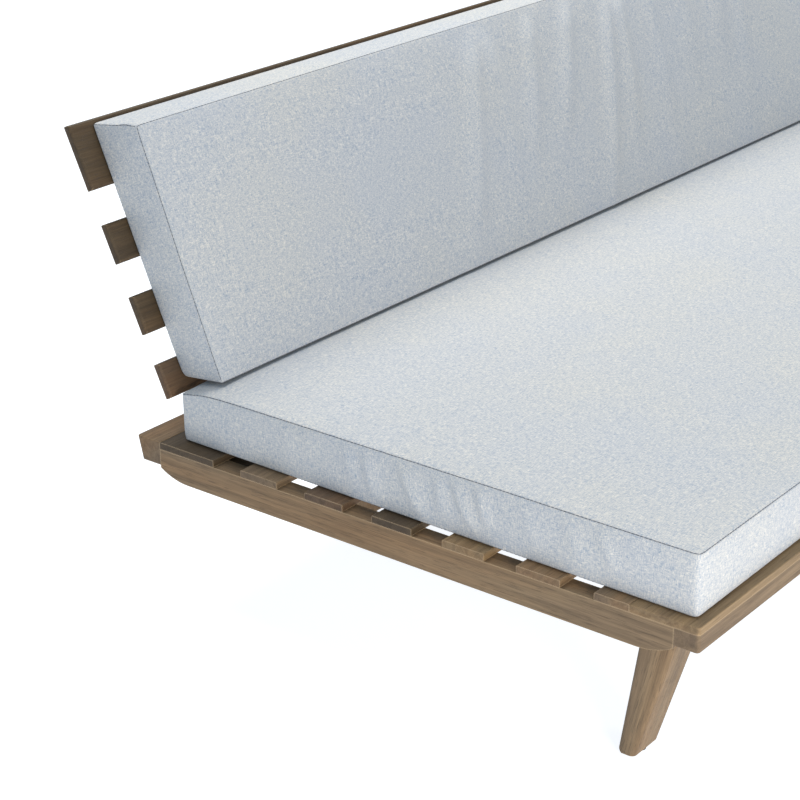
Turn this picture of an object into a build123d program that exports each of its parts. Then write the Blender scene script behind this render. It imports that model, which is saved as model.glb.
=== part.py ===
from build123d import *
from math import cos, radians, sin
import os

# Daybed: a low slatted hardwood base on tapered legs, a raked slatted back, and two loose box cushions.
# Millimetres. +X runs along the length, the front faces -Y, +Z is up, and the floor is Z = 0.
# Places along Y are laid out from the front face of the base, and FRONT_Y moves them to the centred origin.

# Base
LENGTH = 1950.0
BASE_DEPTH = 900.0
DECK_TOP = 230.0
DECK_THICKNESS = 10.0
FRONT_RAIL_WIDTH = 34.0
REAR_RAIL_WIDTH = 44.0
RAIL_HEIGHT = 34.0
REAR_RAIL_SLOPE = 8.0
END_RAIL_THICKNESS = 30.0
END_RAIL_HEIGHT = 42.0
TOE_LENGTH = 50.0
TOE_RISE = 14.0
CORNER_RADIUS = 5.0
EDGE_RADIUS = 1.5

# Seat boards
SLAT_WIDTH = 64.0
SLAT_GAP = 48.5
SLAT_COUNT = 5
FRONT_EDGE_BOARD_WIDTH = 95.0
FRONT_INNER_SLAT_WIDTH = 49.0
REAR_SLAT_WIDTH = 100.0
NOTCH_CLEARANCE = 1.0

# Cross bearers, by name and place along X
BEARER_WIDTH = 25.0
BEARER_HEIGHT = 42.0
BEARERS = {"far_left": -640.0, "left": -320.0, "centre": 0.0, "right": 320.0, "far_right": 640.0}

# Bearer that carries each post and rear leg, and the direction along X from the post to the leg
POSTS = {"left": ("far_left", 1), "centre": ("centre", 1), "right": ("far_right", -1)}

# Legs, laid out by how far their faces stand behind the rail in front of them
LEG_WIDTH = 62.0
LEG_FOOT_WIDTH = 58.0
NARROW_LEG_WIDTH = 40.0
LEG_TOP_NEAR = 1.0
LEG_TOP_FAR = 56.0
LEG_FOOT_NEAR = 64.0
LEG_FOOT_FAR = 88.0
LEG_EDGE_RADIUS = 7.0
NARROW_LEG_EDGE_RADIUS = 4.0
FOOT_CHAMFER = 6.0
GLIDE_RADIUS = 8.0
GLIDE_HEIGHT = 3.0
GLIDE_PLACE = 73.0

# Raked back: distances are measured up the slats' front plane from the deck's top, and behind it
RAKE = 25.0
BACK_PLANE_Y = 826.0
BACK_SLAT_THICKNESS = 10.0
BACK_SLAT_INSET = 24.5
BACK_SLAT_EDGE_RADIUS = 4.0
BACK_SLATS = {
    "back_slat_bottom": (64.5, 115.0),
    "back_slat_lower": (158.5, 214.0),
    "back_slat_upper": (261.5, 318.5),
    "back_slat_top": (367.0, 460.0),
}
POST_THICKNESS = 34.0
POST_DEPTH = 35.0
POST_TOP = 449.0
POST_FOOT = -50.0

# Cushions
CUSHION_CLEARANCE = 0.5
COVER_THICKNESS = 2.0
CUSHION_EDGE_RADIUS = 6.0
SEAT_CUSHION_INSET = 23.0
SEAT_CUSHION_FRONT = 17.0
SEAT_CUSHION_REAR = 836.0
SEAT_CUSHION_THICKNESS = 84.0
BACK_CUSHION_INSET = 57.0
BACK_CUSHION_THICKNESS = 70.0
BACK_CUSHION_TOP = 454.0
BACK_CUSHION_TOP_TILT = 6.5

# Fixings
BOLT_RADIUS = 4.0
BOLT_HOLE_RADIUS = 4.25
BOLT_HEAD_RADIUS = 6.5
BOLT_HEAD_HEIGHT = 4.5
BOLT_SOCKET_RADIUS = 2.9
BOLT_SOCKET_DEPTH = 3.0
BOLT_THREAD_LENGTH = 16.0
WASHER_RADIUS = 8.0
WASHER_THICKNESS = 1.6
INSERT_RADIUS = 6.0
INSERT_LENGTH = 18.0
SCREW_RADIUS = 2.0
SCREW_HEAD_RADIUS = 4.0
SCREW_HEAD_HEIGHT = 2.5
SCREW_LENGTH = 30.0
SCREW_TO_EDGE = 12.0
TALL_SLAT_SCREW_SPACING = 50.0
DOWEL_RADIUS = 5.0
DOWEL_LENGTH = 40.0
DOWEL_Z = 212.0
BLOCK_WIDTH = 45.0
BLOCK_LENGTH = 150.0
BLOCK_HEIGHT = 30.0
BLOCK_DROP = 5.0
BLOCK_DOWEL_Z = 200.0

# Bolts of the legs and corner blocks, as (distance from the rail beside them, height)
LEG_BOLTS = [(28.0, 208.0), (46.0, 190.0)]
REAR_LEG_BOLTS = [(20.0, 201.0), (28.0, 186.0)]
BLOCK_BOLTS = [(40.0, 200.0), (110.0, 200.0)]

# Worked out from the above
HALF_LENGTH = LENGTH / 2
END_RAIL_INNER = -HALF_LENGTH + END_RAIL_THICKNESS
DECK_UNDERSIDE = DECK_TOP - DECK_THICKNESS
RAIL_BOTTOM = DECK_TOP - RAIL_HEIGHT
END_RAIL_BOTTOM = DECK_UNDERSIDE - END_RAIL_HEIGHT
REAR_RAIL_FRONT = BASE_DEPTH - REAR_RAIL_WIDTH
RAKE_SIN = sin(radians(RAKE))
RAKE_COS = cos(radians(RAKE))
BEHIND_PLANE = BACK_SLAT_THICKNESS + POST_DEPTH
OVERALL_DEPTH = BACK_PLANE_Y + POST_TOP * RAKE_SIN + BEHIND_PLANE * RAKE_COS
FRONT_Y = -OVERALL_DEPTH / 2
POST_OFFSET = (BEARER_WIDTH + POST_THICKNESS) / 2
NARROW_LEG_OFFSET = (BEARER_WIDTH + NARROW_LEG_WIDTH) / 2


# Helpers


def box(x0, x1, y0, y1, z0, z1):
    """Box between two corners."""
    middle = ((x0 + x1) / 2, FRONT_Y + (y0 + y1) / 2, (z0 + z1) / 2)
    return Pos(*middle) * Box(x1 - x0, y1 - y0, z1 - z0)


def rod(radius, z0, z1):
    """Cylinder along Z between two heights."""
    return Pos(0, 0, (z0 + z1) / 2) * Cylinder(radius, z1 - z0)


def facing(x, y, z, direction):
    """Location at a point whose own Z axis runs in a direction."""
    return Plane(origin=(x, FRONT_Y + y, z), z_dir=direction).location


def side_face(points):
    """Flat side profile through (y, z) points."""
    outline = Polyline([(0, FRONT_Y + y, z) for y, z in points], close=True)
    return make_face(outline.edges())


def prism(face, x0, x1):
    """Side profile carried along X between two places."""
    return Pos(x0, 0, 0) * extrude(face, amount=x1 - x0, dir=(1, 0, 0))


def back_point(up, behind=0.0):
    """Point (y, z) so far up the slats' front plane and so far behind it."""
    y = BACK_PLANE_Y + up * RAKE_SIN + behind * RAKE_COS
    return y, DECK_TOP + up * RAKE_COS - behind * RAKE_SIN


def edges_between(shape, shortest, longest):
    """Edges of a shape whose length is in a range."""
    return shape.edges().filter_by(lambda edge: shortest < edge.length < longest)


def at_other_end(shape):
    """The same piece at the right end of the daybed."""
    return mirror(shape, about=Plane.YZ)


# Base


def seat_rows():
    """Front and rear of each seat board, by name, from the front of the base."""
    inner_rear = FRONT_EDGE_BOARD_WIDTH + FRONT_INNER_SLAT_WIDTH
    rows = {
        "front_edge_board": (0.0, FRONT_EDGE_BOARD_WIDTH),
        "front_inner_slat": (FRONT_EDGE_BOARD_WIDTH, inner_rear),
    }
    for i in range(SLAT_COUNT):
        front = inner_rear + SLAT_GAP + i * (SLAT_WIDTH + SLAT_GAP)
        rows[f"seat_slat_{i + 1}"] = (front, front + SLAT_WIDTH)
    rows["rear_seat_slat"] = (REAR_RAIL_FRONT - REAR_SLAT_WIDTH, REAR_RAIL_FRONT)
    return rows


def make_seat_board(name, front, rear):
    """One board of the deck, its top edges eased; the front one has round corners in plan."""
    board = box(-HALF_LENGTH, HALF_LENGTH, front, rear, DECK_UNDERSIDE, DECK_TOP)
    if name == "front_edge_board":
        board = fillet(board.edges().filter_by(Axis.Z).group_by(Axis.Y)[0], CORNER_RADIUS)
    return fillet(board.edges().filter_by(Axis.X).group_by(Axis.Z)[-1], EDGE_RADIUS)


def make_front_rail():
    """Front rail, under the front edge board, with round corners in plan."""
    rail = box(-HALF_LENGTH, HALF_LENGTH, 0, FRONT_RAIL_WIDTH, RAIL_BOTTOM, DECK_UNDERSIDE)
    rail = fillet(rail.edges().filter_by(Axis.Z).group_by(Axis.Y)[0], CORNER_RADIUS)
    front_bottom = rail.edges().filter_by(Axis.X).group_by(Axis.Z)[0].sort_by(Axis.Y)[0]
    return fillet(front_bottom, EDGE_RADIUS)


def make_rear_rail():
    """Rear rail, flush with the deck, its rear face sloping in towards the bottom."""
    profile = [
        (REAR_RAIL_FRONT, RAIL_BOTTOM),
        (BASE_DEPTH - REAR_RAIL_SLOPE, RAIL_BOTTOM),
        (BASE_DEPTH, DECK_TOP),
        (REAR_RAIL_FRONT, DECK_TOP),
    ]
    rail = prism(side_face(profile), -HALF_LENGTH, HALF_LENGTH)
    rear_corners = edges_between(rail, RAIL_HEIGHT + 0.1, REAR_RAIL_WIDTH - REAR_RAIL_SLOPE - 0.1)
    rail = fillet(rear_corners, CORNER_RADIUS)
    return fillet(rail.edges().filter_by(Axis.X).group_by(Axis.Z)[-1], EDGE_RADIUS)


def make_end_rail():
    """Left end rail between the long rails, its lower edge curving up to a toe at each end."""
    front, rear = FRONT_RAIL_WIDTH, REAR_RAIL_FRONT
    toe = END_RAIL_BOTTOM + TOE_RISE
    half = TOE_LENGTH / 2
    radius = (TOE_LENGTH**2 + TOE_RISE**2) / (2 * TOE_RISE)
    half_rise = radius - (radius**2 - half**2) ** 0.5

    def at(y, z):
        return 0, FRONT_Y + y, z

    def toe_arc(tip, way):
        middle = at(tip + way * half, END_RAIL_BOTTOM + half_rise)
        return ThreePointArc(at(tip, toe), middle, at(tip + way * TOE_LENGTH, END_RAIL_BOTTOM))

    outline = [
        Line(at(rear, DECK_UNDERSIDE), at(front, DECK_UNDERSIDE)),
        Line(at(front, DECK_UNDERSIDE), at(front, toe)),
        toe_arc(front, 1),
        Line(at(front + TOE_LENGTH, END_RAIL_BOTTOM), at(rear - TOE_LENGTH, END_RAIL_BOTTOM)),
        toe_arc(rear, -1),
        Line(at(rear, toe), at(rear, DECK_UNDERSIDE)),
    ]
    return prism(make_face(outline), -HALF_LENGTH, END_RAIL_INNER)


def make_bearer(x):
    """Cross bearer from the front rail to the rear rail, under the deck."""
    half = BEARER_WIDTH / 2
    bottom = DECK_UNDERSIDE - BEARER_HEIGHT
    return box(x - half, x + half, FRONT_RAIL_WIDTH, REAR_RAIL_FRONT, bottom, DECK_UNDERSIDE)


def leg_profile(rail_face, way):
    """Side profile of a leg that stands behind a rail face and slopes away from it, way being +1 or -1."""
    points = [
        (LEG_TOP_NEAR, DECK_UNDERSIDE),
        (LEG_FOOT_NEAR, GLIDE_HEIGHT),
        (LEG_FOOT_FAR - FOOT_CHAMFER, GLIDE_HEIGHT),
        (LEG_FOOT_FAR, GLIDE_HEIGHT + FOOT_CHAMFER),
        (LEG_TOP_FAR, DECK_UNDERSIDE),
    ]
    return side_face([(rail_face + way * away, z) for away, z in points])


def make_corner_leg():
    """Left front leg, inside both rails, narrowing to the foot below the end rail."""
    right = END_RAIL_INNER + LEG_WIDTH
    leg = prism(leg_profile(FRONT_RAIL_WIDTH, 1), END_RAIL_INNER, right)
    waste = Polyline(
        [(right, 0, END_RAIL_BOTTOM), (END_RAIL_INNER + LEG_FOOT_WIDTH, 0, 0), (right, 0, 0)],
        close=True,
    )
    leg -= extrude(make_face(waste.edges()), amount=BASE_DEPTH, dir=(0, 1, 0), both=True)
    return fillet(edges_between(leg, END_RAIL_BOTTOM - FOOT_CHAMFER - 10, LENGTH), LEG_EDGE_RADIUS)


def make_narrow_leg(x, rail_face, way):
    """Leg bolted to the side of a bearer, centred on x."""
    half = NARROW_LEG_WIDTH / 2
    leg = prism(leg_profile(rail_face, way), x - half, x + half)
    return fillet(edges_between(leg, END_RAIL_BOTTOM, LENGTH), NARROW_LEG_EDGE_RADIUS)


def make_corner_block():
    """Block in the left rear corner, along the end rail, that ties it to the rear rail."""
    top = DECK_UNDERSIDE - BLOCK_DROP
    front = REAR_RAIL_FRONT - BLOCK_LENGTH
    return box(END_RAIL_INNER, END_RAIL_INNER + BLOCK_WIDTH, front, REAR_RAIL_FRONT, top - BLOCK_HEIGHT, top)


# Back


def make_post(x):
    """Raked post behind the back slats, from below the deck to just under the back's top edge."""
    profile = [
        back_point(POST_FOOT, BACK_SLAT_THICKNESS),
        back_point(POST_TOP, BACK_SLAT_THICKNESS),
        back_point(POST_TOP, BEHIND_PLANE),
        back_point(POST_FOOT, BEHIND_PLANE),
    ]
    half = POST_THICKNESS / 2
    post = prism(side_face(profile), x - half, x + half)
    return fillet(edges_between(post, POST_TOP, LENGTH), EDGE_RADIUS)


def make_back_slat(low, high):
    """Slat on the raked plane, with well rounded edges round its front face and eased rear edges."""
    profile = [
        back_point(low),
        back_point(high),
        back_point(high, BACK_SLAT_THICKNESS),
        back_point(low, BACK_SLAT_THICKNESS),
    ]
    end = HALF_LENGTH - BACK_SLAT_INSET
    slat = prism(side_face(profile), -end, end)

    def depth_behind_plane(face):
        middle = face.center()
        return (middle.Y - FRONT_Y) * RAKE_COS - (middle.Z - DECK_TOP) * RAKE_SIN

    slat = fillet(slat.faces().sort_by(depth_behind_plane)[0].edges(), BACK_SLAT_EDGE_RADIUS)
    rear_edges = slat.faces().sort_by(depth_behind_plane)[-1].edges().filter_by(Axis.X)
    return fillet(rear_edges, EDGE_RADIUS)


# Cushions


def cover_and_core(outer_face, x0, x1):
    """Fabric cover and foam core of a box cushion, from its side profile."""
    inner_face = offset(outer_face, amount=-COVER_THICKNESS, kind=Kind.INTERSECTION)
    outer = prism(outer_face, x0, x1)
    outer = fillet(outer.edges(), CUSHION_EDGE_RADIUS)
    core = prism(inner_face, x0 + COVER_THICKNESS, x1 - COVER_THICKNESS)
    core = fillet(core.edges(), CUSHION_EDGE_RADIUS - COVER_THICKNESS)
    return outer - core, core


def make_seat_cushion():
    """Seat cushion, lying on the deck."""
    low = DECK_TOP + CUSHION_CLEARANCE
    high = low + SEAT_CUSHION_THICKNESS
    front, rear = SEAT_CUSHION_FRONT, SEAT_CUSHION_REAR
    end = HALF_LENGTH - SEAT_CUSHION_INSET
    return cover_and_core(side_face([(front, low), (rear, low), (rear, high), (front, high)]), -end, end)


def make_back_cushion():
    """Back cushion, standing on the seat cushion and leaning on the slats, its top sagging to the front."""
    low = DECK_TOP + SEAT_CUSHION_THICKNESS + 2 * CUSHION_CLEARANCE
    rear_face = -CUSHION_CLEARANCE
    front_face = rear_face - BACK_CUSHION_THICKNESS
    tilt = radians(BACK_CUSHION_TOP_TILT)
    top_width = BACK_CUSHION_THICKNESS / cos(radians(RAKE) - tilt)
    top_rear = back_point(BACK_CUSHION_TOP, rear_face)
    top_front = (top_rear[0] - top_width * cos(tilt), top_rear[1] + top_width * sin(tilt))

    def bottom_corner(behind):
        return back_point((low - DECK_TOP + behind * RAKE_SIN) / RAKE_COS, behind)

    profile = [bottom_corner(rear_face), top_rear, top_front, bottom_corner(front_face)]
    end = HALF_LENGTH - BACK_CUSHION_INSET
    return cover_and_core(side_face(profile), -end, end)


# Fixings


def fixing(place, grip):
    """Bolt, washer, threaded insert and the hole for them; the washer's face is at the place."""
    head_top = -WASHER_THICKNESS - BOLT_HEAD_HEIGHT
    shank = rod(BOLT_RADIUS, -WASHER_THICKNESS, grip + BOLT_THREAD_LENGTH)
    socket = extrude(RegularPolygon(BOLT_SOCKET_RADIUS, 6), amount=BOLT_SOCKET_DEPTH)
    bolt = shank + rod(BOLT_HEAD_RADIUS, head_top, -WASHER_THICKNESS) - Pos(0, 0, head_top) * socket
    washer = rod(WASHER_RADIUS, -WASHER_THICKNESS, 0) - rod(BOLT_HOLE_RADIUS, -WASHER_THICKNESS, 0)
    pocket = rod(INSERT_RADIUS, grip, grip + INSERT_LENGTH)
    insert = pocket - rod(BOLT_RADIUS, grip, grip + INSERT_LENGTH)
    hole = rod(BOLT_HOLE_RADIUS, 0, grip) + pocket
    return [place * solid for solid in (bolt, washer, insert, hole)]


def make_screw(place):
    """Countersunk screw, its head flush at the place and its shank going into the wood."""
    head = Pos(0, 0, SCREW_HEAD_HEIGHT / 2) * Cone(SCREW_HEAD_RADIUS, SCREW_RADIUS, SCREW_HEAD_HEIGHT)
    return place * (head + rod(SCREW_RADIUS, SCREW_HEAD_HEIGHT, SCREW_LENGTH))


def seat_screws():
    """Screws down through the seat boards into each bearer."""
    rows = seat_rows()
    places = [(front + rear) / 2 for front, rear in rows.values()]
    places[0] = rows["front_edge_board"][1] - SCREW_TO_EDGE
    return [make_screw(facing(x, y, DECK_TOP, (0, 0, -1))) for x in BEARERS.values() for y in places]


def back_screws(post_x):
    """Screws through the back slats into each post."""
    screws = []
    for name, (low, high) in BACK_SLATS.items():
        spread = TALL_SLAT_SCREW_SPACING / 2 if name == "back_slat_top" else 0.0
        for up in sorted({(low + high) / 2 - spread, (low + high) / 2 + spread}):
            y, z = back_point(up)
            screws += [make_screw(facing(x, y, z, (0, RAKE_COS, -RAKE_SIN))) for x in post_x]
    return screws


def make_glides():
    """Glides under the feet."""
    corner_leg_x = -END_RAIL_INNER - LEG_FOOT_WIDTH / 2
    front_feet = [-corner_leg_x, NARROW_LEG_OFFSET, corner_leg_x]
    rear_feet = [BEARERS[bearer] + side * NARROW_LEG_OFFSET for bearer, side in POSTS.values()]
    places = [(x, FRONT_RAIL_WIDTH + GLIDE_PLACE) for x in front_feet]
    places += [(x, REAR_RAIL_FRONT - GLIDE_PLACE) for x in rear_feet]
    return [facing(x, y, 0, (0, 0, 1)) * rod(GLIDE_RADIUS, 0, GLIDE_HEIGHT) for x, y in places]


def make_dowel(x, y, z):
    """Dowel along Y, its middle on the joint between a rail and the piece that meets it."""
    return facing(x, y, z, (0, 1, 0)) * rod(DOWEL_RADIUS, -DOWEL_LENGTH / 2, DOWEL_LENGTH / 2)


def make_dowels():
    """Dowels from the end rails and bearers into both long rails, and from the corner blocks into the rear."""
    end_x = HALF_LENGTH - END_RAIL_THICKNESS / 2
    block_x = -END_RAIL_INNER - BLOCK_WIDTH / 2
    cross_x = [-end_x, end_x, *BEARERS.values()]
    dowels = [make_dowel(x, y, DOWEL_Z) for x in cross_x for y in (FRONT_RAIL_WIDTH, REAR_RAIL_FRONT)]
    return dowels + [make_dowel(x, REAR_RAIL_FRONT, BLOCK_DOWEL_Z) for x in (-block_x, block_x)]


# Assembly


def drill(parts, names, tools):
    """Cut tools out of the named parts."""
    for name in names:
        parts[name] -= tools


def add_legs(parts):
    """Corner, centre and rear legs with their bolts. Returns each fixing with the parts it goes through."""
    fixings = []
    parts["front_leg_left"] = make_corner_leg()
    parts["front_leg_right"] = at_other_end(parts["front_leg_left"])
    for behind, z in LEG_BOLTS:
        y = FRONT_RAIL_WIDTH + behind
        for end, side in (("left", 1), ("right", -1)):
            x = side * (END_RAIL_INNER + LEG_WIDTH)
            through = [f"front_leg_{end}", f"end_rail_{end}"]
            fixings.append((fixing(facing(x, y, z, (-side, 0, 0)), LEG_WIDTH), through))
    for name, (bearer, side) in POSTS.items():
        leg_x = BEARERS[bearer] + side * NARROW_LEG_OFFSET
        face_x = leg_x + side * NARROW_LEG_WIDTH / 2
        parts[f"rear_leg_{name}"] = make_narrow_leg(leg_x, REAR_RAIL_FRONT, -1)
        for behind, z in REAR_LEG_BOLTS:
            place = facing(face_x, REAR_RAIL_FRONT - behind, z, (-side, 0, 0))
            through = [f"rear_leg_{name}", f"bearer_{bearer}", f"back_post_{name}"]
            fixings.append((fixing(place, NARROW_LEG_WIDTH + BEARER_WIDTH), through))
        if name == "centre":
            parts["front_leg_centre"] = make_narrow_leg(leg_x, FRONT_RAIL_WIDTH, 1)
            for behind, z in LEG_BOLTS:
                place = facing(face_x, FRONT_RAIL_WIDTH + behind, z, (-side, 0, 0))
                through = ["front_leg_centre", f"bearer_{bearer}"]
                fixings.append((fixing(place, NARROW_LEG_WIDTH), through))
    return fixings


def add_corner_blocks(parts):
    """Rear corner blocks with their bolts. Returns each fixing with the parts it goes through."""
    fixings = []
    parts["corner_block_left"] = make_corner_block()
    parts["corner_block_right"] = at_other_end(parts["corner_block_left"])
    for end, side in (("left", 1), ("right", -1)):
        x = side * (END_RAIL_INNER + BLOCK_WIDTH)
        for away, z in BLOCK_BOLTS:
            place = facing(x, REAR_RAIL_FRONT - away, z, (-side, 0, 0))
            fixings.append((fixing(place, BLOCK_WIDTH), [f"corner_block_{end}", f"end_rail_{end}"]))
    return fixings


def make_parts():
    """Every node of the daybed, by name."""
    parts = {name: make_seat_board(name, *row) for name, row in seat_rows().items()}
    parts["front_rail"] = make_front_rail()
    parts["rear_rail"] = make_rear_rail()
    parts["end_rail_left"] = make_end_rail()
    parts["end_rail_right"] = at_other_end(parts["end_rail_left"])
    for name, x in BEARERS.items():
        parts[f"bearer_{name}"] = make_bearer(x)
    post_x = {name: BEARERS[bearer] - side * POST_OFFSET for name, (bearer, side) in POSTS.items()}
    half_notch = POST_THICKNESS / 2 + NOTCH_CLEARANCE
    notch_front = back_point(POST_FOOT / 2, BACK_SLAT_THICKNESS)[0] - NOTCH_CLEARANCE
    for name, x in post_x.items():
        parts[f"back_post_{name}"] = make_post(x)
        parts["rear_rail"] -= parts[f"back_post_{name}"]
        notch = box(x - half_notch, x + half_notch, notch_front, BASE_DEPTH, 0, DECK_TOP + 1)
        parts["rear_seat_slat"] -= notch
    for name, span in BACK_SLATS.items():
        parts[name] = make_back_slat(*span)

    fixings = add_legs(parts) + add_corner_blocks(parts)
    for (*_, hole), through in fixings:
        drill(parts, through, hole)
    for i, node in enumerate(("frame_bolts", "bolt_washers", "threaded_inserts")):
        parts[node] = Compound(children=[pieces[i] for pieces, _ in fixings])

    screws = seat_screws()
    drill(parts, [*seat_rows(), *(f"bearer_{name}" for name in BEARERS)], screws)
    parts["seat_slat_screws"] = Compound(children=screws)
    screws = back_screws(post_x.values())
    drill(parts, [*BACK_SLATS, *(f"back_post_{name}" for name in POSTS)], screws)
    parts["back_slat_screws"] = Compound(children=screws)

    dowels = make_dowels()
    joined = ["front_rail", "rear_rail", *(f"bearer_{name}" for name in BEARERS)]
    for end in ("left", "right"):
        joined += [f"end_rail_{end}", f"corner_block_{end}"]
    drill(parts, joined, dowels)
    parts["rail_dowels"] = Compound(children=dowels)

    parts["foot_glides"] = Compound(children=make_glides())

    parts["seat_cushion_cover"], parts["seat_cushion_foam"] = make_seat_cushion()
    parts["back_cushion_cover"], parts["back_cushion_foam"] = make_back_cushion()
    return parts


os.makedirs("parts", exist_ok=True)
for part_name, part in make_parts().items():
    export_step(part, f"parts/{part_name}.step")
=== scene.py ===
from math import cos, pi, radians, sin

import bpy
import numpy as np
from mathutils import Euler, Matrix, Vector
from mathutils.noise import noise as perlin


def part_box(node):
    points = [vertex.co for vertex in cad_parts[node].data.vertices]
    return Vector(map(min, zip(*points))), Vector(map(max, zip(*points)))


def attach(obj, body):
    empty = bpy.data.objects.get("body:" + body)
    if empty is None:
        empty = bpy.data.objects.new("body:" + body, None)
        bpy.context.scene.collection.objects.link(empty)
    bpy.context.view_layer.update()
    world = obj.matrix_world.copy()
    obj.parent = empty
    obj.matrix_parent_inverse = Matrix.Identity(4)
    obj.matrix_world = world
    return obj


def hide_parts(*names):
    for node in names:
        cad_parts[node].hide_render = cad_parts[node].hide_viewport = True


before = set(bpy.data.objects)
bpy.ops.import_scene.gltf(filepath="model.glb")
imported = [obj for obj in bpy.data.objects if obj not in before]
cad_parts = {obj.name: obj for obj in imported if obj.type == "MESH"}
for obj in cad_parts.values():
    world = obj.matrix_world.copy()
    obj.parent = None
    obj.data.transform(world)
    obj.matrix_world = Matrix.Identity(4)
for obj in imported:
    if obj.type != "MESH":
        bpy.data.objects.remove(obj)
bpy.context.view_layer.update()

# Looks for a slatted hardwood daybed with loose box cushions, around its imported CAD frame.
# Metres: +X along the length, the front faces -Y, +Z up, the floor at Z = 0.

RAKE = radians(25.0)


def link(name, data):
    """New object in the scene."""
    piece = bpy.data.objects.new(name, data)
    bpy.context.scene.collection.objects.link(piece)
    return piece


# Camera, floor and light

CAMERA_PLACE = (-2.805, -1.539, 1.401)
CAMERA_YAW = radians(51.724)
CAMERA_PITCH = radians(23.183)
CAMERA_ROLL = radians(-0.486)
LENS_MM = 92.88
SENSOR_MM = 36.0
CAMERA_REACH = 100.0
FLOOR_SIZE = 60.0
FLOOR_GREY = (0.4, 0.4, 0.4, 1.0)
FLOOR_GLOW = (0.96, 1.0, 1.06, 1.0)
FLOOR_GLOW_STRENGTH = 0.88
SKY = (0.61, 0.84, 1.08, 1.0)
SKY_STRENGTH = 0.36

# Soft lights: name, place, target, size, watts and colour
LIGHTS = (
    ("key", (0.5, -4.2, 1.8), (-0.3, 0.0, 0.3), (1.8, 1.4), 52.0, (1.0, 0.95, 0.89)),
    ("side", (-1.85, -1.75, 0.65), (-0.9, -0.3, 0.3), (0.5, 0.5), 19.0, (1.0, 0.96, 0.91)),
    ("top", (0.2, 1.5, 3.3), (-0.3, 0.0, 0.3), (3.0, 1.8), 138.0, (1.0, 0.96, 0.89)),
)


def make_camera():
    """Camera at the reference viewing angle: turned from +Y towards +X, then tipped down, then rolled."""
    forward = Vector((
        sin(CAMERA_YAW) * cos(CAMERA_PITCH),
        cos(CAMERA_YAW) * cos(CAMERA_PITCH),
        -sin(CAMERA_PITCH),
    ))
    level_right = Vector((cos(CAMERA_YAW), -sin(CAMERA_YAW), 0.0))
    level_up = level_right.cross(forward)
    right = cos(CAMERA_ROLL) * level_right + sin(CAMERA_ROLL) * level_up
    up = cos(CAMERA_ROLL) * level_up - sin(CAMERA_ROLL) * level_right
    data = bpy.data.cameras.new("camera")
    data.lens = LENS_MM
    data.sensor_width = SENSOR_MM
    data.clip_end = CAMERA_REACH
    camera = link("camera", data)
    turn = Matrix((right, up, -forward)).transposed()
    camera.matrix_world = Matrix.Translation(CAMERA_PLACE) @ turn.to_4x4()
    bpy.context.scene.camera = camera


def make_area_light(name, place, target, size, watts, colour):
    """Large soft light at a place, pointing at a target."""
    data = bpy.data.lights.new(name, "AREA")
    data.shape = "RECTANGLE"
    data.size, data.size_y = size
    data.energy = watts
    data.color = colour
    light = link(name, data)
    light.location = place
    light.rotation_euler = (Vector(target) - Vector(place)).to_track_quat("-Z", "Y").to_euler()


def make_floor():
    """Plain pale floor, bright enough to stay white in every view."""
    half = FLOOR_SIZE / 2
    corners = [(-half, -half, 0), (half, -half, 0), (half, half, 0), (-half, half, 0)]
    mesh = bpy.data.meshes.new("floor")
    mesh.from_pydata(corners, [], [(0, 1, 2, 3)])
    floor = link("floor", mesh)
    material = bpy.data.materials.new("floor")
    material.use_nodes = True
    shader = material.node_tree.nodes["Principled BSDF"]
    shader.inputs["Base Color"].default_value = FLOOR_GREY
    shader.inputs["Roughness"].default_value = 0.9
    shader.inputs["Emission Color"].default_value = FLOOR_GLOW
    shader.inputs["Emission Strength"].default_value = FLOOR_GLOW_STRENGTH
    mesh.materials.append(material)


def make_stage():
    """Floor under an even sky, with three soft lights."""
    make_floor()
    world = bpy.data.worlds.new("studio")
    world.use_nodes = True
    sky = world.node_tree.nodes["Background"]
    sky.inputs["Color"].default_value = SKY
    sky.inputs["Strength"].default_value = SKY_STRENGTH
    bpy.context.scene.world = world
    for light in LIGHTS:
        make_area_light(*light)
    bpy.context.scene.view_settings.view_transform = "Standard"


# Material tools


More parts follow.
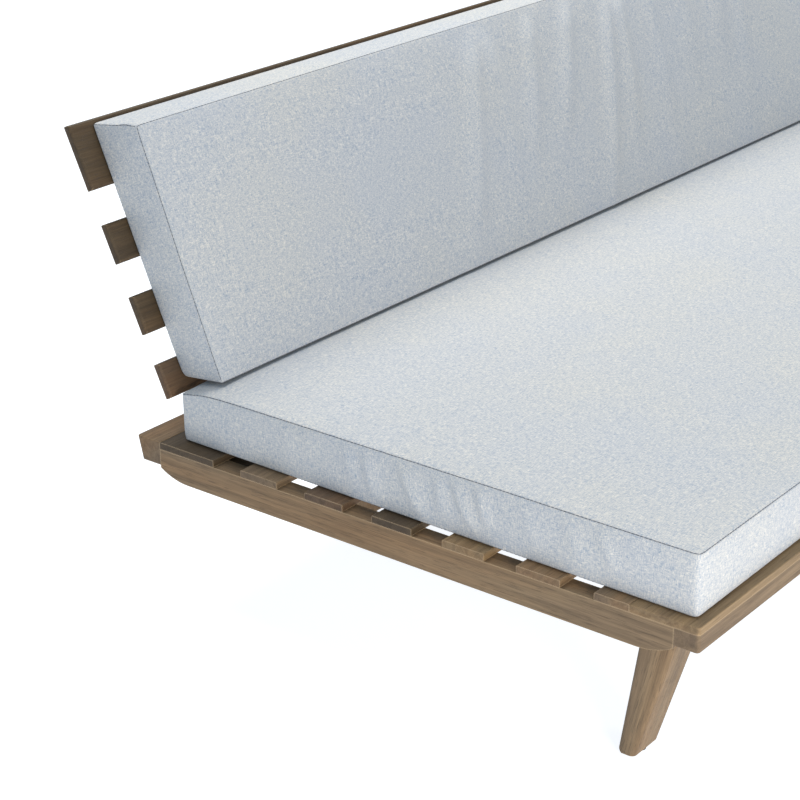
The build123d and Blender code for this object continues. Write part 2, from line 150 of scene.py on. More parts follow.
class Nodes:
    """Node tree of a new material, with short ways to add and join nodes."""

    def __init__(self, name):
        self.material = bpy.data.materials.new(name)
        self.material.use_nodes = True
        self.tree = self.material.node_tree
        self.shader = self.tree.nodes["Principled BSDF"]
        self.place = self.add("ShaderNodeTexCoord").outputs["Object"]

    def add(self, kind, **settings):
        node = self.tree.nodes.new(kind)
        for name, value in settings.items():
            setattr(node, name, value)
        return node

    def join(self, value, socket):
        """Link an output to a socket, or set the socket to a plain value."""
        if isinstance(value, bpy.types.NodeSocket):
            self.tree.links.new(value, socket)
        else:
            socket.default_value = value

    def math(self, operation, *values):
        node = self.add("ShaderNodeMath", operation=operation)
        for value, socket in zip(values, node.inputs):
            self.join(value, socket)
        return node.outputs[0]

    def dot(self, a, b):
        node = self.add("ShaderNodeVectorMath", operation="DOT_PRODUCT")
        self.join(a, node.inputs[0])
        self.join(b, node.inputs[1])
        return node.outputs["Value"]

    def mapped(self, scale, offset=(0.0, 0.0, 0.0), turn=(0.0, 0.0, 0.0)):
        """Object coordinates, turned and then stretched."""
        turned = self.add("ShaderNodeMapping", vector_type="POINT")
        self.join(self.place, turned.inputs["Vector"])
        turned.inputs["Rotation"].default_value = turn
        turned.inputs["Location"].default_value = offset
        stretched = self.add("ShaderNodeVectorMath", operation="MULTIPLY")
        self.join(turned.outputs[0], stretched.inputs[0])
        stretched.inputs[1].default_value = scale
        return stretched.outputs[0]

    def noise(self, vector, detail=2.0, roughness=0.5, distortion=0.0):
        node = self.add("ShaderNodeTexNoise")
        self.join(vector, node.inputs["Vector"])
        node.inputs["Scale"].default_value = 1.0
        node.inputs["Detail"].default_value = detail
        node.inputs["Roughness"].default_value = roughness
        node.inputs["Distortion"].default_value = distortion
        return node.outputs["Fac"]

    def ramp(self, value, *stops):
        """Colour ramp through (position, colour) stops."""
        node = self.add("ShaderNodeValToRGB")
        while len(node.color_ramp.elements) < len(stops):
            node.color_ramp.elements.new(0.5)
        for element, (position, colour) in zip(node.color_ramp.elements, stops):
            element.position = position
            element.color = (*colour, 1.0)
        self.join(value, node.inputs[0])
        return node.outputs[0]

    def mix(self, amount, a, b, blend="MIX"):
        node = self.add("ShaderNodeMix", data_type="RGBA", blend_type=blend)
        self.join(amount, node.inputs[0])
        for value, socket in ((a, node.inputs[6]), (b, node.inputs[7])):
            self.join((*value, 1.0) if isinstance(value, tuple) else value, socket)
        return node.outputs[2]

    def bump(self, height, distance, strength):
        node = self.add("ShaderNodeBump")
        self.join(height, node.inputs["Height"])
        node.inputs["Distance"].default_value = distance
        node.inputs["Strength"].default_value = strength
        return node.outputs[0]


def grey(level):
    return level, level, level


def srgb(*channels):
    """Linear colour from 0 to 255 display values."""
    shares = [channel / 255 for channel in channels]
    return tuple(share / 12.92 if share <= 0.04045 else ((share + 0.055) / 1.055) ** 2.4 for share in shares)


# Wood


def tilted(angle):
    """Turn that brings a grain axis tilted in the YZ plane, from +Z towards +Y, onto X."""
    return angle, radians(90.0), 0.0


FRONT_LEG_TILT = radians(-12.4)
ALONG_X = (0.0, 0.0, 0.0)
ALONG_Y = (0.0, 0.0, radians(-90.0))

# Darker and lighter tones of each stain. On the back slats, olive-brown and red-brown are also dark enough to
# paint the shade cast by the back cushion.
GREY_BROWN = (srgb(90, 74, 56), srgb(152, 127, 96))
TAN = (srgb(100, 79, 55), srgb(166, 139, 101))
OLIVE_BROWN = (srgb(60, 48, 33), srgb(100, 81, 57))
RED_BROWN = (srgb(72, 55, 40), srgb(120, 95, 70))
PALE_BEECH = (srgb(176, 146, 108), srgb(214, 190, 152))

# Light tan of worn edges, also used as a painted highlight on the rounded edges
WORN_AND_HIGHLIGHT_TAN = srgb(186, 160, 124)
WORN_AND_HIGHLIGHT_WIDTH = 0.0025
PORE_BROWN = (0.055, 0.040, 0.028)
END_GRAIN_TINT = (0.80, 0.80, 0.84)
STAIN_COOL = (0.80, 0.80, 0.86)
STAIN_WARM = (1.16, 1.02, 0.88)

# Noise cells per metre, along the grain and across it
PATCHES = (1.3, 16.0, 16.0)
STREAKS = (4.0, 120.0, 120.0)
FIBRES = (14.0, 900.0, 900.0)
PORES = (40.0, 1100.0, 1100.0)

# How far apart the noise of one node and the next, and of one axis and the next, is taken
NODE_SHIFT = 3.7
AXIS_SHIFT = 11.0

# Grain direction and stain of the nodes that come once
SINGLE_BOARDS = {
    "front_rail": (ALONG_X, GREY_BROWN),
    "rear_rail": (ALONG_X, GREY_BROWN),
    "end_rail_left": (ALONG_Y, GREY_BROWN),
    "end_rail_right": (ALONG_Y, TAN),
    "front_edge_board": (ALONG_X, TAN),
    "front_inner_slat": (ALONG_X, GREY_BROWN),
    # Back slats: their dark stains are partly their own tone, partly painted shade from the back cushion
    "rear_seat_slat": (ALONG_X, OLIVE_BROWN),
    "back_slat_top": (ALONG_X, OLIVE_BROWN),
    "back_slat_upper": (ALONG_X, OLIVE_BROWN),
    "back_slat_lower": (ALONG_X, OLIVE_BROWN),
    "back_slat_bottom": (ALONG_X, RED_BROWN),
    "corner_block_left": (ALONG_Y, OLIVE_BROWN),
    "corner_block_right": (ALONG_Y, TAN),
    "rail_dowels": (ALONG_Y, PALE_BEECH),
}
SLAT_STAINS = (GREY_BROWN, TAN, OLIVE_BROWN, RED_BROWN, GREY_BROWN)
BEARERS = ("far_left", "left", "centre", "right", "far_right")
LEG_STAINS = {"left": GREY_BROWN, "centre": TAN, "right": OLIVE_BROWN}


def wood_plan():
    """Grain direction and stain of every wooden node."""
    plan = dict(SINGLE_BOARDS)
    for number, stain in enumerate(SLAT_STAINS, start=1):
        plan[f"seat_slat_{number}"] = (ALONG_X, stain)
    for place, stain in zip(BEARERS, SLAT_STAINS):
        plan[f"bearer_{place}"] = (ALONG_Y, stain)
    for place, stain in LEG_STAINS.items():
        plan[f"front_leg_{place}"] = (tilted(FRONT_LEG_TILT), stain)
        plan[f"rear_leg_{place}"] = (tilted(-FRONT_LEG_TILT), stain)
        plan[f"back_post_{place}"] = (tilted(RAKE), stain)
    return plan


def edge_wear_and_highlight(nodes, patches):
    """Share of worn wood and painted edge highlight: none on flat faces, and patchy along the edges."""
    rounded_edge = nodes.add("ShaderNodeBevel", samples=4)
    rounded_edge.inputs["Radius"].default_value = WORN_AND_HIGHLIGHT_WIDTH
    face = nodes.add("ShaderNodeNewGeometry")
    likeness = nodes.dot(rounded_edge.outputs[0], face.outputs["True Normal"])
    edge = nodes.ramp(likeness, (0.80, grey(1.0)), (0.985, grey(0.0)))
    return nodes.math("MULTIPLY", edge, nodes.math("MULTIPLY_ADD", patches, 0.9, 0.3))


def end_grain(nodes, turn):
    """Share of end grain: 1 on faces that cut across the grain, 0 on those along it."""
    grain_axis = Euler(turn).to_matrix().transposed() @ Vector((1.0, 0.0, 0.0))
    face = nodes.add("ShaderNodeNewGeometry")
    along = nodes.dot(face.outputs["True Normal"], grain_axis)
    return nodes.ramp(nodes.math("ABSOLUTE", along), (0.80, grey(0.0)), (0.95, grey(1.0)))


def make_wood(name, turn, stain, seed):
    """Stained hardwood: streaks and pores along the grain, tone patches, dark end grain, and worn edges that
    also carry a painted highlight.
    """
    nodes = Nodes(name)
    shift = tuple(NODE_SHIFT * seed + AXIS_SHIFT * axis for axis in range(3))
    patches = nodes.noise(nodes.mapped(PATCHES, shift, turn), detail=2.0)
    streaks = nodes.noise(nodes.mapped(STREAKS, shift, turn), detail=5.0, roughness=0.6, distortion=0.7)
    fibres = nodes.noise(nodes.mapped(FIBRES, shift, turn), detail=3.0, roughness=0.7)
    dots = nodes.noise(nodes.mapped(PORES, shift, turn), detail=1.0)
    pores = nodes.ramp(dots, (0.30, grey(1.0)), (0.38, grey(0.0)))
    figure = nodes.math("MULTIPLY_ADD", streaks, 0.6, nodes.math("MULTIPLY", fibres, 0.4))
    cloudy = nodes.ramp(patches, (0.34, STAIN_COOL), (0.5, grey(1.0)), (0.68, STAIN_WARM))
    cut_across = nodes.math("MULTIPLY", end_grain(nodes, turn), 0.85)

    dark, light = stain
    colour = nodes.mix(nodes.ramp(figure, (0.28, grey(0.0)), (0.72, grey(1.0))), dark, light)
    colour = nodes.mix(1.0, colour, cloudy, "MULTIPLY")
    colour = nodes.mix(nodes.math("MULTIPLY", pores, 0.45), colour, PORE_BROWN)
    # Light tan along the edges: partly wear, partly a painted highlight where light would catch the rounded
    # edges
    colour = nodes.mix(edge_wear_and_highlight(nodes, patches), colour, WORN_AND_HIGHLIGHT_TAN)
    colour = nodes.mix(cut_across, colour, END_GRAIN_TINT, "MULTIPLY")

    nodes.join(colour, nodes.shader.inputs["Base Color"])
    nodes.join(nodes.math("MULTIPLY_ADD", figure, -0.25, 0.75), nodes.shader.inputs["Roughness"])
    nodes.shader.inputs["Specular IOR Level"].default_value = 0.35
    relief = nodes.math("SUBTRACT", figure, nodes.math("MULTIPLY", pores, 0.8))
    nodes.join(nodes.bump(relief, 0.0006, 0.6), nodes.shader.inputs["Normal"])
    return nodes.material


# Hardware

STEEL_NODES = ("frame_bolts", "bolt_washers", "threaded_inserts", "seat_slat_screws", "back_slat_screws")
SCRATCHES = (300.0, 2500.0, 2500.0)
PEBBLES = (1500.0, 1500.0, 1500.0)


def make_steel():
    """Brushed steel, its gloss broken by fine scratches."""
    nodes = Nodes("brushed_steel")
    scratches = nodes.noise(nodes.mapped(SCRATCHES), detail=3.0)
    nodes.join(nodes.ramp(scratches, (0.3, grey(0.42)), (0.7, grey(0.62))), nodes.shader.inputs["Base Color"])
    nodes.join(nodes.math("MULTIPLY_ADD", scratches, 0.3, 0.2), nodes.shader.inputs["Roughness"])
    nodes.shader.inputs["Metallic"].default_value = 1.0
    nodes.join(nodes.bump(scratches, 0.0001, 0.4), nodes.shader.inputs["Normal"])
    return nodes.material


def make_glide_plastic():
    """Dark moulded plastic with a fine pebbled skin."""
    nodes = Nodes("glide_plastic")
    pebbles = nodes.noise(nodes.mapped(PEBBLES), detail=2.0)
    nodes.join(nodes.ramp(pebbles, (0.3, grey(0.012)), (0.7, grey(0.03))), nodes.shader.inputs["Base Color"])
    nodes.join(nodes.math("MULTIPLY_ADD", pebbles, 0.3, 0.35), nodes.shader.inputs["Roughness"])
    nodes.join(nodes.bump(pebbles, 0.0002, 0.5), nodes.shader.inputs["Normal"])
    return nodes.material


def finish_frame():
    """Give every CAD node that stays visible its material."""
    finishes = {
        name: make_wood(f"wood_{name}", turn, stain, seed)
        for seed, (name, (turn, stain)) in enumerate(wood_plan().items())
    }
    steel = make_steel()
    for name in STEEL_NODES:
        finishes[name] = steel
    finishes["foot_glides"] = make_glide_plastic()
    for name, finish in finishes.items():
        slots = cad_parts[name].data.materials
        slots.clear()
        slots.append(finish)


# Fabric

# Noise cells per metre, along a yarn and across it, and in the faint clouds over the cloth
YARN_LONG = 160.0
YARN_FINE = 750.0
CLOUDS = (5.0, 5.0, 5.0)
YARN_TONES = (
    (0.36, srgb(144, 158, 174)),
    (0.47, srgb(185, 187, 191)),
    (0.53, srgb(198, 197, 195)),
    (0.64, srgb(225, 219, 211)),
)
CLOUD_TONES = ((0.35, (0.95, 0.97, 1.0)), (0.65, (1.0, 1.0, 0.985)))
TWIST = (700.0, 700.0, 700.0)
THREAD_TONES = ((0.35, srgb(74, 80, 90)), (0.65, srgb(104, 110, 120)))


def make_fabric(lean):
    """Heathered plain weave: blue-grey and warm grey yarns crossing on every face of a cushion."""
    nodes = Nodes("heathered_weave")
    turn = (lean, 0.0, 0.0)
    yarns = []
    for axis in range(3):
        scale = tuple(YARN_LONG if i == axis else YARN_FINE for i in range(3))
        yarns.append(nodes.noise(nodes.mapped(scale, turn=turn), detail=2.0))
    cloth = nodes.math("ADD", nodes.math("ADD", yarns[0], yarns[1]), yarns[2])
    cloth = nodes.math("MULTIPLY", cloth, 1 / 3)
    clouds = nodes.noise(nodes.mapped(CLOUDS, turn=turn), detail=3.0)
    colour = nodes.mix(1.0, nodes.ramp(cloth, *YARN_TONES), nodes.ramp(clouds, *CLOUD_TONES), "MULTIPLY")
    nodes.join(colour, nodes.shader.inputs["Base Color"])
    nodes.shader.inputs["Roughness"].default_value = 0.9
    nodes.shader.inputs["Specular IOR Level"].default_value = 0.2
    nodes.shader.inputs["Sheen Weight"].default_value = 0.15
    nodes.shader.inputs["Sheen Roughness"].default_value = 0.5
    nodes.join(nodes.bump(cloth, 0.0008, 0.5), nodes.shader.inputs["Normal"])
    return nodes.material


def make_thread():
    """Dark blue-grey sewing thread with a slight twist of tone."""
    nodes = Nodes("seam_thread")
    twist = nodes.noise(nodes.mapped(TWIST), detail=1.0)
    nodes.join(nodes.ramp(twist, *THREAD_TONES), nodes.shader.inputs["Base Color"])
    nodes.shader.inputs["Roughness"].default_value = 0.8
    return nodes.material


# Cushions
#
# A cushion is a closed quad grid. Each point has a place (a, b, c) in it, from 0 to 1: a along the length,
# b across the panels, and c from the panel that rests (0) to the panel that shows (1).

# Grid cells along a, b and c, and the closer rows beside each seam
SEAT_CELLS = (0.018, 0.009, 0.009)
BACK_CELLS = (0.012, 0.012, 0.012)
SEAM_ROWS = (0.0, 0.0025, 0.006, 0.011)

# Cloth simulation, and how far it may move a showing panel or the boxing
CLOTH_FRAMES = 20
CLOTH_PRESSURE = 4.0
BOXING_SLACK = 0.05
SEAT_CROWN = 0.0054
BACK_CROWN = 0.009
BULGE_LIMIT = 0.0035

# Seams
GROOVE_DEPTH = 0.0009
SEAM_WOBBLE = 0.0012
SEAM_WOBBLES_PER_M = 9.0
THREAD_RADIUS = 0.00055
THREAD_PROUD = 0.0003
THREAD_SIDES = 6
STITCH = 0.006
RINGS_PER_STITCH = 3
STITCH_PINCH = 0.35

# Folds: the shares of its reach by which one has risen and from which it fades, and how much its sides differ
FOLD_RISEN = 0.2
FOLD_FADES = 0.45
FOLD_SKEW = 0.5

# Both cushions
REST_GAP = 0.0008
PANEL_INSET = 0.001

# Seat cushion: bows and spreads move its sides in or out, and its rear strip is pressed down by the back
SIDE_BOW = 0.0035
END_BOW = 0.002
SEAT_SEAM_HEIGHT = 0.0777
SEAT_NARROWING = 0.001
SEAT_TUCK = 0.0015
SEAT_TUCK_FADE = 0.08
END_SPREAD = 0.009
FRONT_SPREAD = 0.006
SEAT_REAR_DROP = 0.006
SEAT_PRESSED_STRIP = 0.046
SEAT_PRESS_POWER = 1.2
SEAT_CORNER_DROP = 0.003
SEAT_CORNER_REACH = 0.05
SEAT_FRONT_RADIUS = 0.008
SEAT_REAR_RADIUS = 0.006

# Back cushion, and the post and slat in front of which it leans
POST_DEPTH = 0.035
SLAT_THICKNESS = 0.010
SLAT_GAP = 0.001
BACK_THICKNESS = 0.070
BACK_TOP_TILT = radians(5.5)
BACK_TOP_RISE = 0.004
BACK_REAR_DROP = 0.012
BACK_BOTTOM_REAR_RADIUS = 0.0144
BACK_BOTTOM_FRONT_RADIUS = 0.0024
BACK_TOP_RADIUS = 0.005
BACK_NARROWING = 0.007
BACK_FRONT_NARROWING = 0.011
BACK_NARROWING_POWER = 1.15

# Long folds of the back cushion: place along it from its left end, width, height, lean and reach, in metres
BACK_FOLDS = [
    (0.775, 0.024, 0.0100, -0.48, 0.42),
    (0.800, 0.019, 0.0085, -0.15, 0.42),
    (0.935, 0.021, 0.0080, -0.45, 0.30),
    (1.055, 0.024, 0.0085, -0.58, 0.28),
    (1.175, 0.019, 0.0095, -0.50, 0.44),
    (1.205, 0.021, 0.0100, -0.32, 0.34),
]
# Puckers of the seat cushion's left end: place back from its front, width, height, lean and reach, in metres
SEAT_END_FOLDS = [
    (0.530, 0.011, 0.0028, -0.25, 0.070),
    (0.496, 0.012, 0.0056, -0.25, 0.085),
    (0.438, 0.013, 0.0064, -0.45, 0.090),
    (0.379, 0.010, 0.0040, -0.15, 0.070),
    (0.354, 0.010, 0.0064, -0.45, 0.080),
    (0.315, 0.010, 0.0058, -0.25, 0.065),
    (0.251, 0.014, 0.0024, -0.35, 0.080),
    (0.186, 0.014, 0.0026, -0.35, 0.080),
    (0.137, 0.012, 0.0032, -0.35, 0.075),
]


def stations(length, cell):
    """Grid places from 0 to 1 along a side: close together by the seams, even between them."""
    near = SEAM_ROWS[-1]
    even = np.linspace(near, length - near, round((length - 2 * near) / cell) + 1)
    far = [length - row for row in reversed(SEAM_ROWS[:-1])]
    return np.concatenate([SEAM_ROWS[:-1], even, far]) / length


def shell_grid(sizes, cells):
    """Quads and (a, b, c) places of the surface of a box with these side lengths and cell lengths."""
    grids = [stations(size, cell) for size, cell in zip(sizes, cells)]
    index = {}
    faces = []
    for axis in range(3):
        p, q = (axis + 1) % 3, (axis + 2) % 3
        for side in (0, len(grids[axis]) - 1):
            for i in range(len(grids[p]) - 1):
                for j in range(len(grids[q]) - 1):
                    corners = [(i, j), (i + 1, j), (i + 1, j + 1), (i, j + 1)]
                    if side == 0:
                        corners.reverse()
                    face = []
                    for u, v in corners:
                        key = [0, 0, 0]
                        key[axis], key[p], key[q] = side, u, v
                        face.append(index.setdefault(tuple(key), len(index)))
                    faces.append(face)
    return faces, np.array([[grids[k][key[k]] for k in range(3)] for key in index])


def rounded(first, second, half_first, half_second, radius):
    """Offsets from a panel's middle, with the square corners drawn in to quarter circles."""
    over_first = np.clip((np.abs(first) - half_first + radius) / radius, 0.0, 1.0)
    over_second = np.clip((np.abs(second) - half_second + radius) / radius, 0.0, 1.0)
    shrink = np.maximum(over_first, over_second) / np.maximum(np.hypot(over_first, over_second), 1e-9)
    shrink = np.where((over_first > 0) & (over_second > 0), shrink, 1.0)
    first = first - np.sign(first) * over_first * (1 - shrink) * radius
    second = second - np.sign(second) * over_second * (1 - shrink) * radius
    return first, second


def inflate(points, faces, held, slack):
    """How far each point moves when the cushion is blown up while its held points stay where they are."""
    mesh = bpy.data.meshes.new("blown")
    mesh.from_pydata(points.tolist(), [], faces)
    piece = link("blown", mesh)
    piece.vertex_groups.new(name="held").add(np.nonzero(held)[0].tolist(), 1.0, "REPLACE")
    piece.vertex_groups.new(name="slack").add(np.nonzero(slack)[0].tolist(), 1.0, "REPLACE")
    cloth = piece.modifiers.new("Cloth", "CLOTH").settings
    cloth.quality = 5
    cloth.mass = 0.3
    cloth.tension_stiffness = 15.0
    cloth.compression_stiffness = 15.0
    cloth.shear_stiffness = 5.0
    cloth.bending_stiffness = 0.5
    cloth.use_pressure = True
    cloth.uniform_pressure_force = CLOTH_PRESSURE
    cloth.effector_weights.gravity = 0.0
    cloth.vertex_group_mass = "held"
    cloth.vertex_group_shrink = "slack"
    cloth.shrink_min = 0.0
    cloth.shrink_max = -BOXING_SLACK
    for number in range(1, CLOTH_FRAMES + 1):
        bpy.context.scene.frame_set(number)
    evaluated = piece.evaluated_get(bpy.context.evaluated_depsgraph_get())
    blown = coordinates(evaluated.data)
    bpy.data.objects.remove(piece)
    bpy.context.scene.frame_set(1)
    return blown - points


def capped(moves, limits):
    """The moves, shortened smoothly so that none is longer than its limit."""
    sizes = np.linalg.norm(moves, axis=1, keepdims=True)
    limits = limits[:, None]
    return moves * limits * np.tanh(sizes / limits) / np.maximum(sizes, 1e-9)


def eased(value, start, end):
    """Smooth step from 0 at start to 1 at end."""
    t = np.clip((value - start) / (end - start), 0.0, 1.0)
    return t * t * (3 - 2 * t)


def ridges(along, down, folds):
    """Height of soft folds, each (place, width, rise, lean, reach), with down measured from the seam."""
    height = np.zeros(len(along))
    for place, width, rise, lean, reach in folds:
        across = (along - place - lean * down) / width
        ends = eased(down, 0.0, FOLD_RISEN * reach) * (1 - eased(down, FOLD_FADES * reach, reach))
        height += rise * ends * np.exp(-across * across) * (1 - FOLD_SKEW * np.tanh(across))
    return height


def puckers(seed, start, end, spacing, rise, lean, reach):
    """Irregular puckers along a seam, in the form that ridges takes."""
    rng = np.random.default_rng(seed)
    folds = []
    place = start
    while place < end:
        size = rng.uniform(0.4, 1.0)
        width = spacing * rng.uniform(0.20, 0.32)
        this_lean = lean * rng.uniform(0.6, 1.3)
        this_reach = reach * rng.uniform(0.55, 1.0)
        folds.append((place, width, rise * size, this_lean, this_reach))
        place += spacing * rng.uniform(0.6, 1.45)
    return folds


def subdivided(points, faces, kind):
    """Mesh of a grid after one subdivision."""
    mesh = bpy.data.meshes.new("grid")
    mesh.from_pydata(points.tolist(), [], faces)
    piece = link("grid", mesh)
    step = piece.modifiers.new("Subdivision", "SUBSURF")
    step.subdivision_type = kind
    step.levels = 1
    evaluated = piece.evaluated_get(bpy.context.evaluated_depsgraph_get())
    finer = bpy.data.meshes.new_from_object(evaluated)
    bpy.data.objects.remove(piece)
    return finer


def coordinates(mesh):
    """Vertex places of a mesh as an array."""
    flat = np.empty(3 * len(mesh.vertices))
    mesh.vertices.foreach_get("co", flat)
    return flat.reshape(-1, 3)


def vertex_normals(mesh):
    """Vertex normals of a mesh as an array."""
    return np.array([vertex.normal[:] for vertex in mesh.vertices])


def smoothed(mesh):
    """Shade every face of a mesh smooth."""
    mesh.polygons.foreach_set("use_smooth", [True] * len(mesh.polygons))


def thread_line(path, closed):
    """Points along a path, a few to each stitch."""
    if closed:
        path = np.vstack([path, path[:1]])
    steps = np.linalg.norm(np.diff(path, axis=0), axis=1)
    travel = np.concatenate([[0.0], np.cumsum(steps)])
    rings = np.arange(0.0, travel[-1], STITCH / RINGS_PER_STITCH)
    return np.stack([np.interp(rings, travel, path[:, k]) for k in range(3)], axis=1)


def add_thread(points, faces, line, closed):
    """Add a thin tube along a line of points, pinched once in each stitch, to lists of points and faces."""
    first = len(points)
    count = len(line) - 1
    for number, (spot, ahead) in enumerate(zip(line[:-1], line[1:])):
        way = Vector(ahead - spot).normalized()
        side = way.orthogonal().normalized()
        other = way.cross(side)
        radius = THREAD_RADIUS * (STITCH_PINCH if number % RINGS_PER_STITCH == 0 else 1.0)
        for turn in range(THREAD_SIDES):
            angle = 2 * pi * turn / THREAD_SIDES
            points.append(Vector(spot) + radius * (cos(angle) * side + sin(angle) * other))
    for ring in range(count if closed else count - 1):
        here = first + ring * THREAD_SIDES
        there = first + (ring + 1) % count * THREAD_SIDES
        for turn in range(THREAD_SIDES):
            after = (turn + 1) % THREAD_SIDES
            faces.append((here + turn, here + after, there + after, there + turn))
    if not closed:
        last = first + (count - 1) * THREAD_SIDES
        faces.append(tuple(first + turn for turn in reversed(range(THREAD_SIDES))))
        faces.append(tuple(last + turn for turn in range(THREAD_SIDES)))


def make_threads(name, mesh, seams):
    """Sewn thread along each seam, a loop or a line of a mesh's vertex numbers."""
    places = coordinates(mesh) + vertex_normals(mesh) * THREAD_PROUD
    points = []
    faces = []
    for order, closed in seams:
        add_thread(points, faces, thread_line(places[order], closed), closed)
    thread = bpy.data.meshes.new(name)
    thread.from_pydata(points, [], faces)
    smoothed(thread)
    return link(name, thread)


def ring_order(grid, level):
    """Vertex numbers round the edge of the panel at this level, in order."""
    a, b, c = grid.T
    lap = np.select([b == 0, a == 1, b == 1, a == 0], [a, 1 + b, 3 - a, 4 - b], -1.0)
    lap = np.where(c == level, lap, -1.0)
    order = np.argsort(lap, kind="stable")
    return order[lap[order] >= 0]


def corner_order(grid, end):
    """Vertex numbers along the top corner of one end of the boxing, in order."""
    chosen = np.nonzero((grid[:, 0] == end) & (grid[:, 1] == 1))[0]
    return chosen[np.argsort(grid[chosen, 2])]


def find_seams(grid, corner_seams):
    """Seams round both panels and, if asked for, at the two top corners: vertex numbers, and if closed."""
    seams = [(ring_order(grid, 0.0), True), (ring_order(grid, 1.0), True)]
    if corner_seams:
        seams += [(corner_order(grid, end), False) for end in (0.0, 1.0)]
    return seams


def press_grooves(mesh, seams):
    """Sink a mesh a little along its seams."""
    sewn = np.unique(np.concatenate([order for order, _ in seams]))
    grooved = coordinates(mesh)
    grooved[sewn] -= GROOVE_DEPTH * vertex_normals(mesh)[sewn]
    mesh.vertices.foreach_set("co", grooved.ravel())
    smoothed(mesh)
    mesh.update()


def blown_up(grid, faces, points, crown, corner_seams):
    a, b, c = grid.T
    on_end = (a == 0) | (a == 1)
    on_side = (b == 0) | (b == 1)
    boxing = (on_end | on_side) & (c > 0) & (c < 1)
    held = ~boxing & ((c == 0) | on_end | on_side)
    if corner_seams:
        held |= (b == 0) | (on_end & (b == 1))
    wobble = np.array([perlin(Vector(point) * SEAM_WOBBLES_PER_M) for point in points])
    points[:, 0] += np.where(on_end & (c > 0), SEAM_WOBBLE * wobble, 0.0)
    return points + capped(inflate(points, faces, held, boxing), np.where(c == 1, crown, BULGE_LIMIT))


def make_cushion(name, sizes, cells, place, lean, folds, crown, corner_seams):
    """Cushion that stands in for its CAD cover and foam, with its seam threads.

    place maps (a, b, c) to points, lean turns the weave to lie along the panels, folds gives the shift of
    each fine grid place, and corner_seams is true where the boxing is sewn at its two top corners.
    """
    faces, grid = shell_grid(sizes, cells)
    points = blown_up(grid, faces, place(*grid.T), crown, corner_seams)
    mesh = subdivided(points, faces, "CATMULL_CLARK")
    fine = np.round(coordinates(subdivided(grid, faces, "SIMPLE")), 6)
    mesh.vertices.foreach_set("co", (coordinates(mesh) + folds(fine)).ravel())
    mesh.update()
    seams = find_seams(fine, corner_seams)
    press_grooves(mesh, seams)

    piece = link(name, mesh)
    threads = make_threads(f"{name}_seams", mesh, seams)
    mesh.materials.clear()
    mesh.materials.append(make_fabric(lean))
    threads.data.materials.append(make_thread())
    for each in (piece, threads):
        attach(each, name)
    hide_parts(f"{name}_cover", f"{name}_foam")


def place_seat(a, b, c):
    """Points of the seat cushion, wider at its bottom in front and pressed down along its rear."""
    (_, front, low), (end, rear, _) = (np.array(corner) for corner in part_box("seat_cushion_cover"))
    half_depth = (rear - front) / 2 - PANEL_INSET
    spread = (1 - b) * (1 - c)
    tuck = SEAT_TUCK * np.exp(-c / SEAT_TUCK_FADE)
    half_length = end - PANEL_INSET - SEAT_NARROWING * b + END_SPREAD * spread
    half_length = half_length - END_BOW * 4 * b * (1 - b) * c - tuck
    half_here = half_depth - SIDE_BOW * 4 * a * (1 - a) - tuck
    radius = np.where(b > 0.5, SEAT_REAR_RADIUS, SEAT_FRONT_RADIUS)
    x, y = rounded((2 * a - 1) * half_length, (2 * b - 1) * half_here, half_length, half_here, radius)
    to_end = half_length - np.abs(x)
    to_rear = half_here - y
    corner = SEAT_CORNER_DROP * np.exp(-(to_end**2 + to_rear**2) / SEAT_CORNER_REACH**2)
    pressed = SEAT_REAR_DROP * np.clip(1 - to_rear / SEAT_PRESSED_STRIP, 0.0, 1.0) ** SEAT_PRESS_POWER
    z = low + REST_GAP + c * (SEAT_SEAM_HEIGHT - (corner + pressed))
    return np.stack([x, (front + rear) / 2 + y - FRONT_SPREAD * spread, z], axis=1)


def place_back(a, b, c):
    """Points of the back cushion, which stands on the seat cushion and leans on the slats."""
    post_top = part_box("back_post_centre")[1]
    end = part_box("back_cushion_cover")[1][0]
    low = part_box("back_cushion_cover")[0][2] + REST_GAP
    up = np.array([sin(RAKE), cos(RAKE)])
    behind = np.array([cos(RAKE), -sin(RAKE)])
    slats = np.array([post_top[1] - POST_DEPTH * cos(RAKE), post_top[2]]) - SLAT_THICKNESS * behind
    rear_top = slats + BACK_TOP_RISE * up - SLAT_GAP * behind
    rear_level = rear_top - up * (rear_top[1] - low) / cos(RAKE)
    rear_bottom = rear_level - up * BACK_REAR_DROP / cos(RAKE)
    front_bottom = rear_level - np.array([BACK_THICKNESS / cos(RAKE), 0.0])
    top_width = BACK_THICKNESS / cos(RAKE - BACK_TOP_TILT)
    front_top = rear_top + top_width * np.array([-cos(BACK_TOP_TILT), sin(BACK_TOP_TILT)])

    narrowing = BACK_NARROWING + BACK_FRONT_NARROWING * c
    half_length = end - PANEL_INSET - b**BACK_NARROWING_POWER * narrowing
    half_height = (rear_top[1] - low) / cos(RAKE) / 2
    bottom_radius = BACK_BOTTOM_REAR_RADIUS + c * (BACK_BOTTOM_FRONT_RADIUS - BACK_BOTTOM_REAR_RADIUS)
    radius = np.where(b < 0.5, bottom_radius, BACK_TOP_RADIUS)
    x, rise = rounded((2 * a - 1) * half_length, (2 * b - 1) * half_height, half_length, half_height, radius)
    share = (rise / half_height / 2 + 0.5)[:, None]
    rear = rear_bottom + share * (rear_top - rear_bottom)
    front = front_bottom + share * (front_top - front_bottom)
    side = rear + c[:, None] * (front - rear)
    return np.column_stack([x, side])


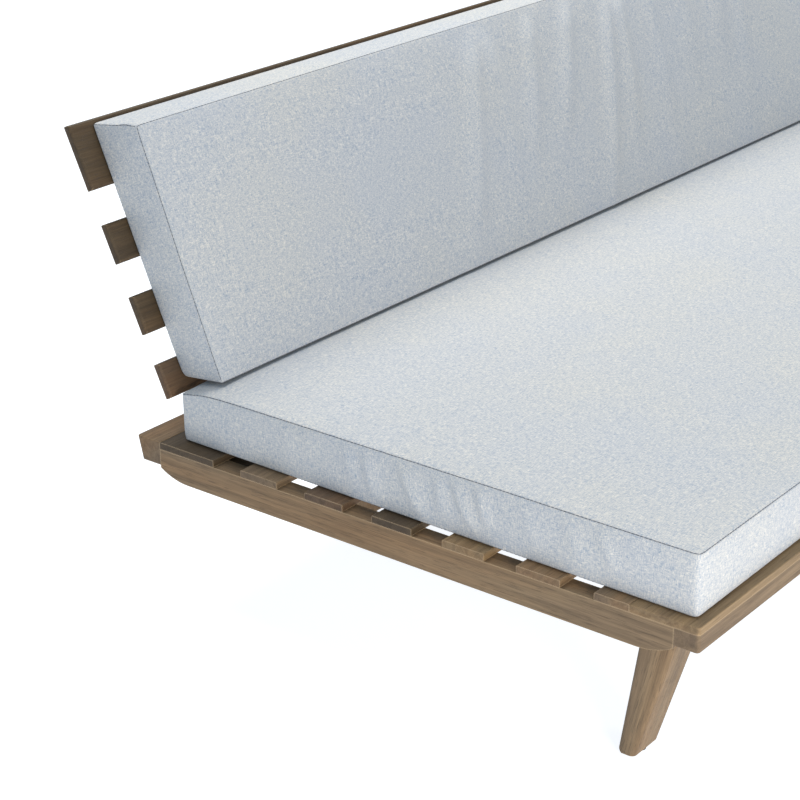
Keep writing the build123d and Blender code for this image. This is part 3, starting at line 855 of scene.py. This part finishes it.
def seat_folds(grid):
    """Puckers of the seat cushion's boxing and round its top seam."""
    a, b, c = grid.T
    low, high = (np.array(corner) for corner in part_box("seat_cushion_cover"))
    length, depth, height = high - low
    down = (1 - c) * height
    boxing = (c > 0) & (c < 1)
    shift = np.zeros((len(grid), 3))
    right_end = puckers(seed=12, start=0.12, end=0.62, spacing=0.036, rise=0.0056, lean=-0.3, reach=0.070)
    for end, out, seed, strong in ((0.0, -1.0, 13, SEAT_END_FOLDS), (1.0, 1.0, 14, right_end)):
        faint = puckers(seed=seed, start=0.60, end=0.78, spacing=0.05, rise=0.0022, lean=-0.3, reach=0.07)
        both = ridges(b * depth, down, strong) + ridges(b * depth, down, faint)
        shift[:, 0] += np.where(boxing & (a == end), out * both, 0.0)
    for side, out, seed in ((0.0, -1.0, 21), (1.0, 1.0, 22)):
        faint = puckers(seed=seed, start=0.08, end=1.85, spacing=0.07, rise=0.0014, lean=0.25, reach=0.08)
        shift[:, 1] += np.where(boxing & (b == side), out * ridges(a * length, down, faint), 0.0)
    near_end = np.minimum(a, 1 - a) * length
    near_side = np.minimum(b, 1 - b) * depth
    end_seam = puckers(seed=31, start=0.05, end=0.78, spacing=0.030, rise=0.0008, lean=0.3, reach=0.045)
    side_seam = puckers(seed=32, start=0.05, end=1.85, spacing=0.045, rise=0.0006, lean=0.3, reach=0.040)
    top = ridges(b * depth, near_end, end_seam) + ridges(a * length, near_side, side_seam)
    shift[:, 2] += np.where((c == 1) & (near_end > 0) & (near_side > 0), top, 0.0)
    return shift


def back_folds(grid):
    """Long soft folds down the back cushion's front, wrinkles across its top and puckers at its ends."""
    a, b, c = grid.T
    low, high = (np.array(corner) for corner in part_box("back_cushion_cover"))
    height = (high[2] - low[2]) / cos(RAKE)
    along = a * (high[0] - low[0])
    down = (1 - b) * height
    from_front = (1 - c) * BACK_THICKNESS
    boxing = (c > 0) & (c < 1)
    shift = np.zeros((len(grid), 3))
    right_half = puckers(seed=43, start=1.30, end=1.75, spacing=0.11, rise=0.0080, lean=-0.35, reach=0.36)
    top_seam = puckers(seed=44, start=0.10, end=1.80, spacing=0.055, rise=0.0008, lean=0.1, reach=0.10)
    bottom_seam = puckers(seed=45, start=0.10, end=1.80, spacing=0.075, rise=0.0008, lean=0.2, reach=0.08)
    front = ridges(along, down, BACK_FOLDS + right_half)
    front += ridges(along, down, top_seam)
    front += ridges(along, b * height, bottom_seam)
    front = np.where((c == 1) & (a > 0) & (a < 1) & (b > 0) & (b < 1), front, 0.0)
    shift[:, 1] -= front * cos(RAKE)
    shift[:, 2] += front * sin(RAKE)
    wrinkles = puckers(seed=46, start=0.02, end=1.80, spacing=0.040, rise=0.0018, lean=-1.1, reach=0.075)
    shift[:, 2] += np.where(boxing & (b == 1), ridges(along, from_front, wrinkles), 0.0)
    for end, out, seed in ((0.0, -1.0, 47), (1.0, 1.0, 48)):
        faint = puckers(seed=seed, start=0.03, end=0.35, spacing=0.05, rise=0.0012, lean=0.4, reach=0.07)
        shift[:, 0] += np.where(boxing & (a == end), out * ridges(down, from_front, faint), 0.0)
    return shift


def make_cushions():
    """Both loose cushions."""
    low, high = (np.array(corner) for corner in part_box("seat_cushion_cover"))
    sizes = tuple(high - low)
    make_cushion(
        "seat_cushion", sizes, SEAT_CELLS, place_seat, 0.0, seat_folds, SEAT_CROWN, corner_seams=False
    )
    low, high = (np.array(corner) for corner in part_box("back_cushion_cover"))
    sizes = (high[0] - low[0], (high[2] - low[2]) / cos(RAKE), BACK_THICKNESS)
    make_cushion(
        "back_cushion", sizes, BACK_CELLS, place_back, RAKE, back_folds, BACK_CROWN, corner_seams=True
    )


make_camera()
make_stage()
finish_frame()
make_cushions()
